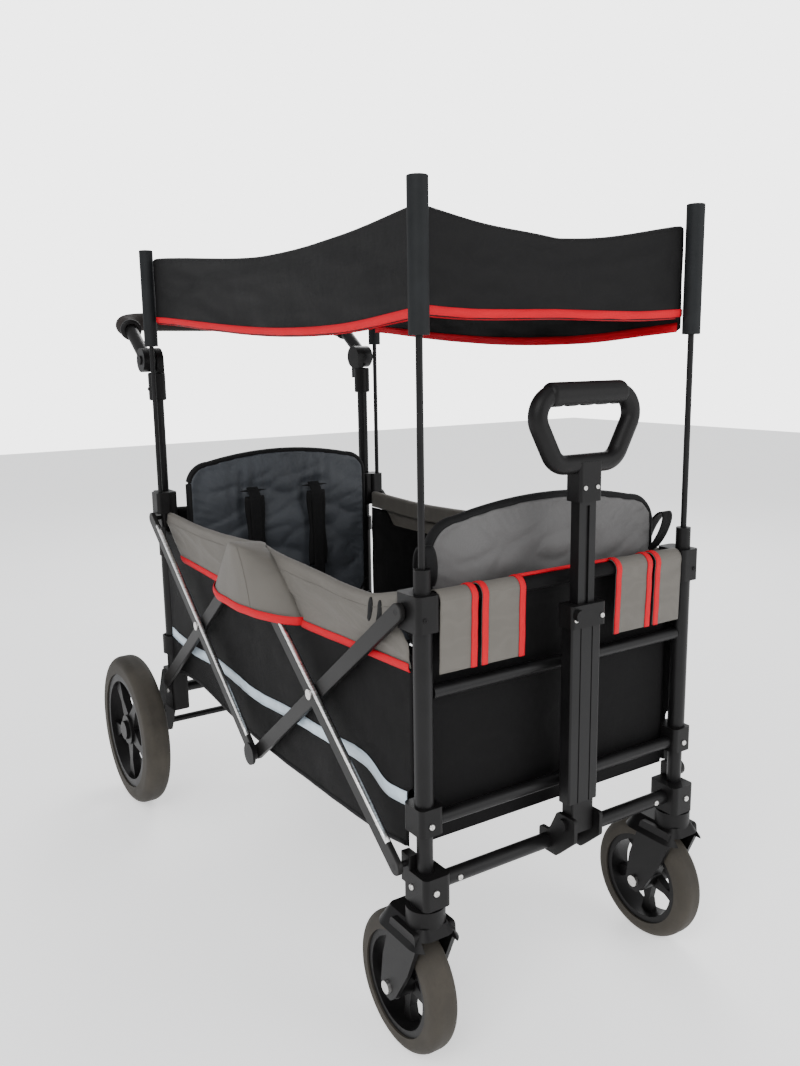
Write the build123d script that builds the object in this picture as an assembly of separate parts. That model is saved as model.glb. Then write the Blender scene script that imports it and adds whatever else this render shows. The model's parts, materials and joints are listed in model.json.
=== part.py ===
"""Folding push-and-pull wagon for two children.

Axes: +X towards the pull handle, +Y to the wagon's left, +Z up.
Origin: on the floor, under the centre of the wagon's bounding box. Millimetres.
"""
import math
import os

from build123d import *

# ---------------------------------------------------------------- frame layout
FRONT_X = 563.5          # axis of the two front corner posts
REAR_X = -376.5          # axis of the two rear corner posts
MID_X = (FRONT_X + REAR_X) / 2
TRACK = 240.0            # half the distance between left and right posts
POST_R = 13.0            # outer telescoping tube
INNER_POST_R = 11.0      # inner telescoping tube
TUBE_WALL = 1.6
SLIDE_GAP = 0.4          # radial gap between the telescoping tubes
RAIL_R = 9.0             # cross rails of the two end frames
CROSS_R = 11.0           # cross tubes between the wheel blocks

# ---------------------------------------------------------------- side linkage
LINK_INSET = 20.0        # pivots stand this far inside the posts
LINK_LOW = 290.0         # height of the lower pivots
LINK_HIGH = 636.0        # height of the upper pivots
LINK_HALF = 12.0         # half the width of a flat link tube
LINK_THICK = 8.0
LAYER_1 = TRACK + 19.5   # inner face of the inner links
LAYER_2 = LAYER_1 + LINK_THICK + 1.0
PIN_R = 4.0
PIN_GAP = 0.1
REAR_PIVOT_X = REAR_X + LINK_INSET
FRONT_PIVOT_X = FRONT_X - LINK_INSET

# ---------------------------------------------------------------- wheels
FRONT_WHEEL_R = 98.0
FRONT_WHEEL_WIDTH = 44.0
CASTER_TRAIL = 46.0
REAR_WHEEL_R = 160.0
REAR_WHEEL_WIDTH = 52.0
REAR_AXLE_X = REAR_X - 85.0
REAR_WHEEL_Y = 305.0
AXLE_R = 7.0
CASTER_BOLT_R = 5.0
KINGPIN_R = 8.0
BLOCK_BOTTOM = 238.0
BLOCK_TOP = 283.0
BLOCK_OUT = TRACK + 17.5

# ---------------------------------------------------------------- basket
BASKET_FLOOR = 318.0
BASKET_RIM = 640.0
MAT_THICK = 14.0
PANEL_THICK = 4.0
SEAT_HINGE = 412.0
SEAT_BACK_TOP = 762.0
SEAT_BACK_HALF = 215.0
SEAT_BACK_THICK = 36.0
SEAT_ROD_R = 6.0         # rod sewn into the lower edge of each seat back
SEAT_DEPTH = 240.0

# ---------------------------------------------------------------- canopy
ROD_R = 4.5
ROD_TOP = 1020.0
SLEEVE_R = 13.0
SLEEVE_BOTTOM = 978.0
SLEEVE_TOP = 1160.0
REAR_ROD_X = REAR_X + 30.0
REAR_ROD_Y = TRACK + 17.0
CLOTH_EDGE = 990.0
CLOTH_THICK = 3.0

# ---------------------------------------------------------------- handles
PUSH_X = REAR_X - 15.0   # pivot of the push handle
PUSH_Z = 952.0
PUSH_HUB_R = 24.0
PUSH_BAR_R = 13.0
PUSH_BAR_Y = TRACK + 13.5
PUSH_GRIP_R = 19.0
PUSH_PALM_R = 20.0       # thicker straight stretch of the foam grip
PUSH_PALM_HALF = 170.0
PUSH_SLEEVE_R = 17.0
PUSH_BUTTON_R = 9.0
PULL_X = FRONT_X + 35.0  # pivot of the pull handle
PULL_Z = 300.0
PULL_RAIL_TOP = 600.0
PULL_STEM_BOTTOM = 500.0
PULL_COLLAR_BOTTOM = 760.0
PULL_GRIP_BOTTOM = 797.0
PULL_GRIP_TOP = 918.0
PULL_GRIP_R = 13.0


def save(name, *solids):
    """Write the solids as one named sub-part."""
    pieces = [solid for shape in solids for solid in shape.solids()]
    whole = pieces[0] if len(pieces) == 1 else Compound(children=pieces)
    export_step(whole, f"parts/{name}.step")


def mirrored(shape):
    """The same piece on the other side of the wagon."""
    return mirror(shape, about=Plane.XZ)


def pair(shape):
    """A piece and its mirror image, as separate solids."""
    return [shape, mirrored(shape)]


def post(radius, low, high, x, y, bore=0.0):
    """Upright rod, or tube when a bore is given."""
    length = high - low
    shape = Pos(x, y, (low + high) / 2) * Cylinder(radius, length)
    if bore:
        shape -= Pos(x, y, (low + high) / 2) * Cylinder(bore, length + 2)
    return shape


def rod_y(radius, x, z, start, end):
    """Rod along Y between two y values."""
    return Pos(x, (start + end) / 2, z) * Rot(90, 0, 0) * Cylinder(radius, abs(end - start))


def rod_x(radius, y, z, start, end):
    """Rod along X between two x values."""
    return Pos((start + end) / 2, y, z) * Rot(0, 90, 0) * Cylinder(radius, abs(end - start))


def block(x0, x1, y0, y1, z0, z1, radius=0.0):
    """Box between two corners, with its upright edges rounded when a radius is given."""
    centre = Pos((x0 + x1) / 2, (y0 + y1) / 2, (z0 + z1) / 2)
    shape = Box(x1 - x0, y1 - y0, z1 - z0)
    if radius:
        shape = fillet(shape.edges().filter_by(Axis.Z), radius)
    return centre * shape


def plate(points, y0, y1):
    """Flat plate with an outline of (x, z) points, between two y values."""
    corners = [(x, y0, z) for x, z in points]
    return extrude(make_face(Polyline(corners, close=True)), amount=y1 - y0, dir=(0, 1, 0))


# ================================================================ side linkage
def link(start, end, layer, holes, open_hole=None):
    """Flat link tube from start to end, (x, z) points, with pivot holes along it."""
    angle = math.degrees(math.atan2(end[1] - start[1], end[0] - start[0]))
    length = math.dist(start, end)
    outline = SlotCenterToCenter(length, 2 * LINK_HALF)
    middle = ((start[0] + end[0]) / 2, (start[1] + end[1]) / 2)
    bar = extrude(outline, amount=LINK_THICK)
    bar = fillet(bar.edges().group_by(Axis.Z)[0] + bar.edges().group_by(Axis.Z)[-1], 1.5)
    place = Pos(middle[0], layer + LINK_THICK, middle[1]) * Rot(90, 0, 0) * Rot(0, 0, angle)
    bar = place * bar
    for x, z in holes:
        wider = 0.3 if (x, z) == open_hole else 0.0
        bar -= rod_y(PIN_R + PIN_GAP + wider, x, z, layer - 1, layer + LINK_THICK + 1)
    return bar


def midpoint(a, b):
    return ((a[0] + b[0]) / 2, (a[1] + b[1]) / 2)


def rivet(point):
    """Rivet through both link layers, with a head on each side."""
    x, z = point
    inner = LAYER_1 - 0.2
    outer = LAYER_2 + LINK_THICK + 0.2
    shaft = rod_y(PIN_R, x, z, inner - 1, outer + 1)
    return shaft + rod_y(8, x, z, inner - 3, inner) + rod_y(8, x, z, outer, outer + 3)


def build_linkage():
    rear_low = (REAR_PIVOT_X, LINK_LOW)
    rear_high = (REAR_PIVOT_X, LINK_HIGH)
    front_low = (FRONT_PIVOT_X, LINK_LOW)
    front_high = (FRONT_PIVOT_X, LINK_HIGH)
    top = (MID_X, LINK_HIGH)
    bottom = (MID_X, LINK_LOW)
    rear_cross = midpoint(rear_low, top)
    front_cross = midpoint(top, front_low)
    links = {
        "link_rear_rising": (rear_low, top, LAYER_1, rear_cross),
        "link_front_falling": (top, front_low, LAYER_2, front_cross),
        "link_rear_falling": (rear_high, bottom, LAYER_2, rear_cross),
        "link_front_rising": (bottom, front_high, LAYER_1, front_cross),
    }
    for name, (start, end, layer, cross) in links.items():
        open_hole = bottom if name == "link_front_rising" else None
        save(name, *pair(link(start, end, layer, [start, end, cross], open_hole)))
    save("rear_link_rivets", *pair(rivet(rear_cross)), *pair(rivet(bottom)))
    save("front_link_rivets", *pair(rivet(front_cross)), *pair(rivet(top)))
    for name, point in (("bottom_joint_covers", bottom), ("top_joint_covers", top)):
        face = LAYER_2 + LINK_THICK
        cover = rod_y(19, point[0], point[1], face, face + 5)
        cover -= rod_y(8.3, point[0], point[1], face - 1, face + 3.4)
        save(name, *pair(cover))


# ================================================================ rear lower frame
def build_rear_base():
    tube = post(POST_R, 240, 572, REAR_X, TRACK, POST_R - TUBE_WALL)
    save("rear_lower_posts", *pair(tube))
    ring = post(15.5, 554, 585, REAR_X, TRACK, INNER_POST_R + SLIDE_GAP)
    ring -= post(POST_R, 550, 572, REAR_X, TRACK)
    foot = block(REAR_X - 26, REAR_PIVOT_X + 16, TRACK - 18, BLOCK_OUT, 226, 308, 8)
    foot -= post(POST_R, 240, 320, REAR_X, TRACK)
    foot += rod_y(PIN_R, REAR_PIVOT_X, LINK_LOW, BLOCK_OUT - 2, LAYER_1 + LINK_THICK)
    save("rear_post_fittings", *pair(ring), *pair(foot))
    save("rear_cross_tube", rod_y(CROSS_R, REAR_X, 262, -(TRACK - 18), TRACK - 18))
    axle = rod_y(AXLE_R, REAR_AXLE_X, REAR_WHEEL_R, -329, 329)
    save("rear_axle", axle)
    outline = [
        (REAR_X - 26, 300),
        (REAR_X - 26, 232),
        (REAR_AXLE_X + 12, REAR_WHEEL_R - 18),
        (REAR_AXLE_X - 14, REAR_WHEEL_R - 18),
        (REAR_AXLE_X - 20, REAR_WHEEL_R),
        (REAR_AXLE_X - 12, REAR_WHEEL_R + 22),
        (REAR_X - 42, 296),
    ]
    arm = fillet(plate(outline, TRACK - 13, TRACK + 13).edges().filter_by(Axis.Y), 5)
    arm += rod_y(20, REAR_AXLE_X, REAR_WHEEL_R, TRACK + 13, TRACK + 26)
    arm -= rod_y(AXLE_R, REAR_AXLE_X, REAR_WHEEL_R, TRACK - 30, TRACK + 40)
    housing = block(REAR_AXLE_X + 22, REAR_AXLE_X + 58, TRACK + 13, TRACK + 34, 158, 204, 6)
    save("rear_axle_arms", *pair(arm), *pair(housing))
    collar = rod_y(13, REAR_AXLE_X, REAR_WHEEL_R, -48, 48)
    tread = block(REAR_AXLE_X - 62, REAR_AXLE_X - 8, -42, 42, REAR_WHEEL_R + 2, REAR_WHEEL_R + 12, 8)
    pedal = collar + tread
    pedal -= rod_y(AXLE_R + 0.1, REAR_AXLE_X, REAR_WHEEL_R, -60, 60)
    save("brake_pedal", pedal)


# ================================================================ wheels
def wheel(radius, width, rim_ratio, bore, x, y, z, hub_half):
    """Tyre and five-spoke rim about an axis along Y, outer face towards +Y."""
    rim_r = radius * rim_ratio
    half = width / 2
    tyre = rod_y(radius, 0, 0, -half, half)
    tyre = fillet(tyre.edges().filter_by(GeomType.CIRCLE), width * 0.36)
    tyre -= rod_y(rim_r, 0, 0, -width, width)
    ring = rod_y(rim_r, 0, 0, -half + 3, half - 3) - rod_y(rim_r * 0.87, 0, 0, -width, width)
    rim = ring + rod_y(radius * 0.2, 0, 0, -hub_half, hub_half)
    root = radius * 0.12
    tip = rim_r * 0.93
    waist = radius * 0.055
    outline = [(root, -root), (tip * 0.6, -waist), (tip, -root),
               (tip, root), (tip * 0.6, waist), (root, root)]
    spoke = plate(outline, half * 0.25 - width * 0.15, half * 0.25 + width * 0.15)
    for index in range(5):
        rim += Rot(0, 72 * index + 18, 0) * spoke
    rim -= rod_y(bore, 0, 0, -hub_half - 5, hub_half + 5)
    place = Pos(x, y, z)
    return place * tyre, place * rim


def build_rear_wheels():
    for side, sign in (("left", 1), ("right", -1)):
        tyre, rim = wheel(REAR_WHEEL_R, REAR_WHEEL_WIDTH, 0.77, AXLE_R + 0.08,
                          REAR_AXLE_X, REAR_WHEEL_Y, REAR_WHEEL_R, 20)
        cap = rod_y(20, REAR_AXLE_X, REAR_WHEEL_R, REAR_WHEEL_Y + 20.2, REAR_WHEEL_Y + 27)
        cap -= rod_y(AXLE_R + 0.6, REAR_AXLE_X, REAR_WHEEL_R, REAR_WHEEL_Y, REAR_WHEEL_Y + 24.5)
        if sign < 0:
            tyre, rim, cap = mirrored(tyre), mirrored(rim), mirrored(cap)
        save(f"rear_tyre_{side}", tyre)
        save(f"rear_wheel_{side}", rim, cap)


def build_casters():
    wheel_x = FRONT_X - CASTER_TRAIL
    leg_in = FRONT_WHEEL_WIDTH / 2 + 4
    leg_out = leg_in + 7
    crown_top = BLOCK_BOTTOM - 2
    crown_bottom = 2 * FRONT_WHEEL_R + 5
    brim_low = crown_bottom - 11
    outline = [
        (FRONT_X - 36, crown_bottom + 9),
        (FRONT_X + 22, crown_bottom + 9),
        (FRONT_X + 24, crown_bottom - 12),
        (FRONT_X + 4, 142),
        (wheel_x + 18, FRONT_WHEEL_R - 8),
        (wheel_x + 6, FRONT_WHEEL_R - 19),
        (wheel_x - 10, FRONT_WHEEL_R - 17),
        (wheel_x - 18, FRONT_WHEEL_R),
        (wheel_x - 12, 142),
    ]
    for side, sign in (("left", 1), ("right", -1)):
        y = sign * TRACK
        shape = fillet(plate(outline, -leg_out, leg_out).edges().filter_by(Axis.Y), 6)
        inside = rod_y(FRONT_WHEEL_R + 6, wheel_x, FRONT_WHEEL_R, -leg_in, leg_in)
        under = block(wheel_x - 60, FRONT_X + 60, -leg_in, leg_in, 0, crown_bottom)
        brim = extrude(RectangleRounded(118, 76, 26), 24, taper=34)
        shape += Pos(FRONT_X - 18, 0, brim_low) * brim
        fork = Pos(0, y, 0) * (shape - inside - under)
        fork += post(27, crown_bottom + 4, crown_top, FRONT_X, y)
        fork += post(20, crown_top - 4, crown_top + 1, FRONT_X, y)
        fork -= post(KINGPIN_R, 190, 240, FRONT_X, y)
        fork -= rod_y(CASTER_BOLT_R, wheel_x, FRONT_WHEEL_R, y - 40, y + 40)
        kingpin = post(KINGPIN_R, crown_bottom + 6, 266, FRONT_X, y)
        axle = rod_y(CASTER_BOLT_R, wheel_x, FRONT_WHEEL_R, y - leg_out - 4, y + leg_out + 4)
        for end in (-1, 1):
            axle += rod_y(9, wheel_x, FRONT_WHEEL_R, y + end * leg_out, y + end * (leg_out + 5))
        tyre, rim = wheel(FRONT_WHEEL_R, FRONT_WHEEL_WIDTH, 0.75, CASTER_BOLT_R + 0.08,
                          wheel_x, 0, FRONT_WHEEL_R, leg_in - 0.5)
        save(f"caster_fork_{side}", fork)
        save(f"caster_pins_{side}", kingpin, axle)
        save(f"front_tyre_{side}", Pos(0, y, 0) * tyre)
        save(f"front_wheel_{side}", Pos(0, y, 0) * rim)


# ================================================================ front lower frame
def build_front_base():
    tube = post(INNER_POST_R, 262, 620, FRONT_X, TRACK, INNER_POST_R - TUBE_WALL)
    save("front_lower_posts", *pair(tube))
    body = block(FRONT_X - 28, FRONT_X + 26, TRACK - 25, BLOCK_OUT, BLOCK_BOTTOM, BLOCK_TOP, 8)
    lug = block(FRONT_PIVOT_X - 12, FRONT_PIVOT_X + 9, TRACK + 4, BLOCK_OUT, 262, 303, 2)
    body += lug
    body -= post(INNER_POST_R, 262, 320, FRONT_X, TRACK)
    body -= post(KINGPIN_R + 0.08, 230, 262, FRONT_X, TRACK)
    body += rod_y(PIN_R, FRONT_PIVOT_X, LINK_LOW, BLOCK_OUT - 2, LAYER_2 + LINK_THICK)
    save("caster_blocks", *pair(body))
    tube_z = 262
    save("front_cross_tube", rod_y(CROSS_R, FRONT_X, tube_z, -(TRACK - 25), TRACK - 25))
    side_plate = [
        (FRONT_X - 16, tube_z - 16),
        (FRONT_X + 20, tube_z - 16),
        (PULL_X + 22, PULL_Z - 20),
        (PULL_X + 22, PULL_Z + 14),
        (PULL_X - 14, PULL_Z + 14),
        (FRONT_X + 4, tube_z + 18),
        (FRONT_X - 16, tube_z + 18),
    ]
    ear = fillet(plate(side_plate, 21, 27).edges().filter_by(Axis.Y), 5)
    yoke = ear + mirrored(ear)
    yoke += rod_y(16, FRONT_X, tube_z, -27, 27)
    yoke -= rod_y(CROSS_R, FRONT_X, tube_z, -40, 40)
    yoke -= rod_y(5, PULL_X, PULL_Z, -40, 40)
    bolt = rod_y(5, PULL_X, PULL_Z, -30, 30)
    bolt += rod_y(9, PULL_X, PULL_Z, 27, 32) + rod_y(9, PULL_X, PULL_Z, -32, -27)
    save("handle_yoke", yoke, bolt)


# ================================================================ pull handle
def build_pull_handle():
    back = PULL_X - 12
    face = PULL_X + 10
    stem_back = back + 3.5
    stem_face = face - 2.4
    rail_bottom = PULL_Z + 32
    rails = block(back, face, -27, 27, rail_bottom, PULL_RAIL_TOP, 3)
    rails -= block(stem_back - 0.5, stem_face + 0.5, -15.5, 15.5, rail_bottom - 1, PULL_RAIL_TOP + 1)
    for y in (-10.5, 10.5):
        rails -= block(face - 1, face + 1, y - 1.2, y + 1.2, rail_bottom - 1, PULL_RAIL_TOP + 1)
    foot = block(back, face, -20.5, 20.5, PULL_Z - 14, rail_bottom, 3)
    foot += block(stem_back - 0.5, stem_face + 0.5, -15.5, 15.5, rail_bottom, rail_bottom + 12)
    foot -= rod_y(5.1, PULL_X, PULL_Z, -40, 40)
    save("pull_rails", rails)
    save("pull_foot", foot)
    clamp = block(back - 3, face + 5, -31, 31, PULL_RAIL_TOP - 12, PULL_RAIL_TOP + 20, 5)
    clamp -= block(stem_back - 0.6, stem_face + 0.6, -15.6, 15.6, PULL_RAIL_TOP - 20, PULL_RAIL_TOP + 30)
    clamp -= block(back, face, -27, 27, PULL_RAIL_TOP - 20, PULL_RAIL_TOP)
    knob = rod_x(8, -22, PULL_RAIL_TOP + 8, face + 5, face + 13)
    save("pull_clamp", clamp, knob)
    stem_top = PULL_GRIP_BOTTOM - 1
    stem = block(stem_back, stem_face, -15, 15, PULL_STEM_BOTTOM, stem_top)
    stem -= block(face - 5, face, -3.5, 3.5, PULL_STEM_BOTTOM - 5, PULL_COLLAR_BOTTOM - 6)
    save("pull_stem", stem)
    collar = block(PULL_X - 15, PULL_X + 14, -20, 20, PULL_COLLAR_BOTTOM, PULL_GRIP_BOTTOM + 16, 5)
    grip = grip_loop() + collar
    grip -= block(stem_back, stem_face, -15, 15, PULL_COLLAR_BOTTOM - 5, stem_top)
    save("pull_grip", grip)


def grip_loop():
    """Closed hand loop: a tapering frame with a thicker bar and finger grooves on top."""
    low = PULL_GRIP_BOTTOM + PULL_GRIP_R
    high = PULL_GRIP_TOP - 16
    corners = [(PULL_X, 52, low), (PULL_X, 102, high), (PULL_X, -102, high), (PULL_X, -52, low)]
    path = FilletPolyline(*corners, radius=28, close=True)
    start = Plane(path @ 0, z_dir=path % 0)
    loop = sweep(start * Circle(PULL_GRIP_R), path=path).solid()
    bar = fillet(rod_y(16, PULL_X, high, -68, 68).edges(), 8)
    for index in range(4):
        bar -= rod_x(11, (index - 1.5) * 27, high - 24, PULL_X - 20, PULL_X + 20)
    return loop + bar


# ================================================================ rear upper frame
def build_rear_upper():
    bore = INNER_POST_R - TUBE_WALL
    save("rear_upper_posts", *pair(post(INNER_POST_R, 300, 905, REAR_X, TRACK, bore)))
    collar = block(REAR_X - 17, REAR_PIVOT_X + 14, TRACK - 17, BLOCK_OUT, 618, 688, 7)
    arm = block(REAR_X, REAR_ROD_X + 10, TRACK - 2, REAR_ROD_Y + 10, 646, 688, 7)
    collar += arm
    collar -= post(INNER_POST_R, 600, 700, REAR_X, TRACK)
    collar -= post(ROD_R, 650, 700, REAR_ROD_X, REAR_ROD_Y)
    collar += rod_y(PIN_R, REAR_PIVOT_X, LINK_HIGH, BLOCK_OUT - 2, LAYER_2 + LINK_THICK)
    clip = post(20, 344, 382, REAR_X, TRACK, 16.3)
    save("rear_frame_collars", *pair(collar), *pair(clip))
    rails = []
    for z in (640, 362):
        end = TRACK - 17 if z == 640 else TRACK - 20
        rails.append(rod_y(RAIL_R, REAR_X, z, -end, end))
    save("rear_rails", *rails)
    save("rear_canopy_rods", *pair(post(ROD_R, 650, ROD_TOP, REAR_ROD_X, REAR_ROD_Y)))
    half = TRACK - 21
    panel = block(REAR_X + 11, REAR_X + 17, -half, half, BASKET_FLOOR - 6, BASKET_RIM)
    save("rear_end_panel", panel)
    sleeve = post(PUSH_SLEEVE_R, 872, PUSH_Z - PUSH_HUB_R - 1, REAR_X, TRACK)
    sleeve = fillet(sleeve.edges().filter_by(GeomType.CIRCLE), 3)
    hub = rod_y(PUSH_HUB_R, PUSH_X, PUSH_Z, TRACK - 14, TRACK)
    housing = sleeve + hub + block(PUSH_X - 6, REAR_X + 9, TRACK - 14, TRACK, 905, PUSH_Z)
    housing -= post(INNER_POST_R, 860, 905, REAR_X, TRACK)
    save("push_handle_housings", *pair(housing))


# ================================================================ push handle
def build_push_handle():
    arm_top = (PUSH_X - 86, PUSH_Z + 62)
    grip_line = (PUSH_X - 190, PUSH_Z + 82)
    half = PUSH_BAR_Y - 6
    path_points = [
        (PUSH_X - 12, -PUSH_BAR_Y, PUSH_Z + 9),
        (arm_top[0], -PUSH_BAR_Y, arm_top[1]),
        (grip_line[0], -half, grip_line[1]),
        (grip_line[0], half, grip_line[1]),
        (arm_top[0], PUSH_BAR_Y, arm_top[1]),
        (PUSH_X - 12, PUSH_BAR_Y, PUSH_Z + 9),
    ]
    path = FilletPolyline(*path_points, radius=[60, 70, 70, 60])
    start = Plane(path @ 0, z_dir=path % 0)
    bar = sweep(start * Circle(PUSH_BAR_R), path=path).solid()
    for side in (-1, 1):
        hub = rod_y(PUSH_HUB_R, PUSH_X, PUSH_Z, side * (TRACK + 0.5), side * (TRACK + 26))
        bar += fillet(hub.edges().filter_by(GeomType.CIRCLE).sort_by(Axis.Y)[side], 3)
        bar -= rod_y(PUSH_BUTTON_R + 0.2, PUSH_X, PUSH_Z, side * (TRACK + 15), side * (TRACK + 30))
    save("push_handle_bar", bar)
    grip_path = FilletPolyline(*path_points[1:5], radius=[70, 70])
    begin = Plane(grip_path @ 0, z_dir=grip_path % 0)
    grip = sweep(begin * Circle(PUSH_GRIP_R), path=grip_path).solid()
    grip += rod_y(PUSH_PALM_R, *grip_line, -PUSH_PALM_HALF, PUSH_PALM_HALF)
    grip -= bar
    grip = max(grip.solids(), key=lambda solid: solid.volume)
    save("push_handle_grip", grip)
    for side, sign in (("left", 1), ("right", -1)):
        button = rod_y(PUSH_BUTTON_R, PUSH_X, PUSH_Z, sign * (TRACK + 20), sign * (TRACK + 29))
        save(f"push_button_{side}", button)


# ================================================================ front upper frame
def build_front_upper():
    bore = INNER_POST_R + SLIDE_GAP
    save("front_upper_posts", *pair(post(POST_R, 338, 655, FRONT_X, TRACK, bore)))
    collar = block(FRONT_PIVOT_X - 16, FRONT_X + 17, TRACK - 17, BLOCK_OUT, 612, 660, 7)
    collar -= post(POST_R, 600, 655, FRONT_X, TRACK)
    collar += rod_y(PIN_R, FRONT_PIVOT_X, LINK_HIGH, BLOCK_OUT - 2, LAYER_1 + LINK_THICK)
    cap = post(11, 660, 692, FRONT_X, TRACK)
    collar += cap
    collar -= post(ROD_R, 656, 700, FRONT_X, TRACK)
    bracket = block(FRONT_X - 26, FRONT_X + 17, TRACK - 20, BLOCK_OUT - 1, 338, 376, 7)
    bracket -= post(POST_R, 330, 400, FRONT_X, TRACK)
    save("front_frame_collars", *pair(collar), *pair(bracket))
    low = rod_y(RAIL_R, FRONT_X, 352, -(TRACK - 20), TRACK - 20)
    middle = rod_y(RAIL_R, FRONT_X, 528, -(TRACK - POST_R), TRACK - POST_R)
    high = rod_y(RAIL_R, FRONT_X, 648, -(TRACK - 17), TRACK - 17)
    save("front_rails", low, middle, high)
    save("front_canopy_rods", *pair(post(ROD_R, 656, ROD_TOP, FRONT_X, TRACK)))
    half = TRACK - 21
    panel = block(FRONT_X - 17, FRONT_X - 11, -half, half, BASKET_FLOOR - 6, BASKET_RIM)
    save("front_end_panel", panel)


# ================================================================ canopy
def canopy_profile(inset, drop, low):
    """Side outline of the canopy: straight lower edge and a sagging top."""
    back = REAR_ROD_X + 14 + inset
    front = FRONT_X - 14 - inset
    top_back = (back, 0, 1140 - drop)
    top_front = (front, 0, 1134 - drop)
    sag = ThreePointArc(top_back, ((back + front) / 2, 0, 1114 - drop), top_front)
    sides = Polyline([top_front, (front, 0, low), (back, 0, low), top_back])
    return make_face(sag + sides)


def build_canopy():
    bore_top = SLEEVE_TOP - 8
    for name, x, y in (("rear", REAR_ROD_X, REAR_ROD_Y), ("front", FRONT_X, TRACK)):
        sleeve = post(SLEEVE_R, SLEEVE_BOTTOM, SLEEVE_TOP, x, y)
        sleeve = fillet(sleeve.edges().filter_by(GeomType.CIRCLE), 1.5)
        sleeve -= post(ROD_R + 0.5, SLEEVE_BOTTOM - 1, bore_top, x, y)
        save(f"canopy_sleeves_{name}", *pair(sleeve))
    half = TRACK - 12
    outer = extrude(canopy_profile(0, 0, CLOTH_EDGE), amount=half, both=True)
    inner = extrude(
        canopy_profile(CLOTH_THICK, CLOTH_THICK, CLOTH_EDGE - 10), amount=half - CLOTH_THICK, both=True
    )
    save("canopy_cloth", outer - inner)


# ================================================================ soft goods
def seat_back(x):
    """Upright padded back with an arched top and a hinge rod in its lower edge."""
    z_low = SEAT_HINGE
    shoulder = SEAT_BACK_TOP - 27
    x0 = x - SEAT_BACK_THICK / 2
    half = SEAT_BACK_HALF
    arch = ThreePointArc((x0, -half, shoulder), (x0, 0, SEAT_BACK_TOP), (x0, half, shoulder))
    rest = Polyline([(x0, half, shoulder), (x0, half, z_low), (x0, -half, z_low), (x0, -half, shoulder)])
    face = make_face(arch + rest)
    pad = extrude(face, amount=SEAT_BACK_THICK, dir=(1, 0, 0))
    pad = fillet(pad.edges().filter_by(Axis.X), 34)
    ends = pad.faces().sort_by(Axis.X)
    pad = fillet(ends[0].edges() + ends[-1].edges(), 8)
    return pad + rod_y(SEAT_ROD_R, x, z_low, -half - 8, half + 8)


def build_soft_goods():
    rear_x = REAR_X + 50
    front_x = FRONT_X - 39
    save("rear_seat_back", seat_back(rear_x))
    save("front_seat_back", seat_back(front_x))
    strap_face = rear_x + SEAT_BACK_THICK / 2
    strap = block(strap_face, strap_face + 10, 52, 92, 500, 680)
    save("harness_pads", *pair(strap))
    mat_top = BASKET_FLOOR + MAT_THICK
    low_x = REAR_X + 35
    high_x = FRONT_X - 35
    rear_pad = block(low_x, low_x + SEAT_DEPTH, -205, 205, mat_top + 0.3, mat_top + 52, 20)
    front_pad = block(high_x - SEAT_DEPTH, high_x, -205, 205, mat_top + 0.3, mat_top + 52, 20)
    save("rear_seat_cushion", rear_pad)
    save("front_seat_cushion", front_pad)
    save("floor_mat", block(REAR_X + 19, FRONT_X - 19, -224, 224, BASKET_FLOOR, mat_top))
    panel_in = TRACK - 2
    wall = block(REAR_X + 22, FRONT_X - 28, panel_in, panel_in + PANEL_THICK, 309, BASKET_RIM + 12)
    wall -= block(REAR_X, REAR_X + 42, panel_in - 9, panel_in + 9, 600, 700)
    wall -= block(FRONT_X - 38, FRONT_X, panel_in - 9, panel_in + 9, 600, 700)
    flap_out = LAYER_2 + LINK_THICK + 9
    flap_low = 540
    wall += block(MID_X - 90, MID_X + 90, flap_out, flap_out + 3, flap_low, 661)
    wall += block(MID_X - 90, MID_X + 90, panel_in, flap_out + 3, 658, 661)
    save("side_panels", *pair(wall))


os.makedirs("parts", exist_ok=True)
build_linkage()
build_rear_base()
build_rear_wheels()
build_casters()
build_front_base()
build_pull_handle()
build_rear_upper()
build_push_handle()
build_front_upper()
build_canopy()
build_soft_goods()
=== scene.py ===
"""Folding child wagon: soft goods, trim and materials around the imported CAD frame. Metres."""
import json
from math import atan2, copysign, cos, exp, hypot, pi, radians, sin

import bpy
from mathutils import Matrix, Vector, noise


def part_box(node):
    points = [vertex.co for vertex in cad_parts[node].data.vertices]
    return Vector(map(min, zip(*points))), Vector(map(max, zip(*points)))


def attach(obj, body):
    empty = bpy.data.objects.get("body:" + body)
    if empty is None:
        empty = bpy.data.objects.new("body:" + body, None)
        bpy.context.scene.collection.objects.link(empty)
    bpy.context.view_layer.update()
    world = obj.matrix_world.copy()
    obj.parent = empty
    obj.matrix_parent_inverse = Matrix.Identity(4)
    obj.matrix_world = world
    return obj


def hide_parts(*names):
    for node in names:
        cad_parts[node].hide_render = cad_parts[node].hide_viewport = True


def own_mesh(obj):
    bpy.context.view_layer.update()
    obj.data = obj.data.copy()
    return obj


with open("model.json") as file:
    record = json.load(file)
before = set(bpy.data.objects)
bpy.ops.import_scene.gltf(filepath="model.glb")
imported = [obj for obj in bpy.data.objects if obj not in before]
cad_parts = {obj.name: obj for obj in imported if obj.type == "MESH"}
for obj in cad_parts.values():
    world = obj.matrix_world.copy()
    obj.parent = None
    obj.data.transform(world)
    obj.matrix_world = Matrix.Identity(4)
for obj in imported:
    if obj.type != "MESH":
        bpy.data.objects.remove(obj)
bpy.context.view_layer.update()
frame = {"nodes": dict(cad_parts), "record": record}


# ------------------------------------------------------------------ places from the frame
def box_of(node):
    low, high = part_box(node)
    return Vector(low), Vector(high)


def middle_x(node):
    low, high = box_of(node)
    return (low.x + high.x) / 2


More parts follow.
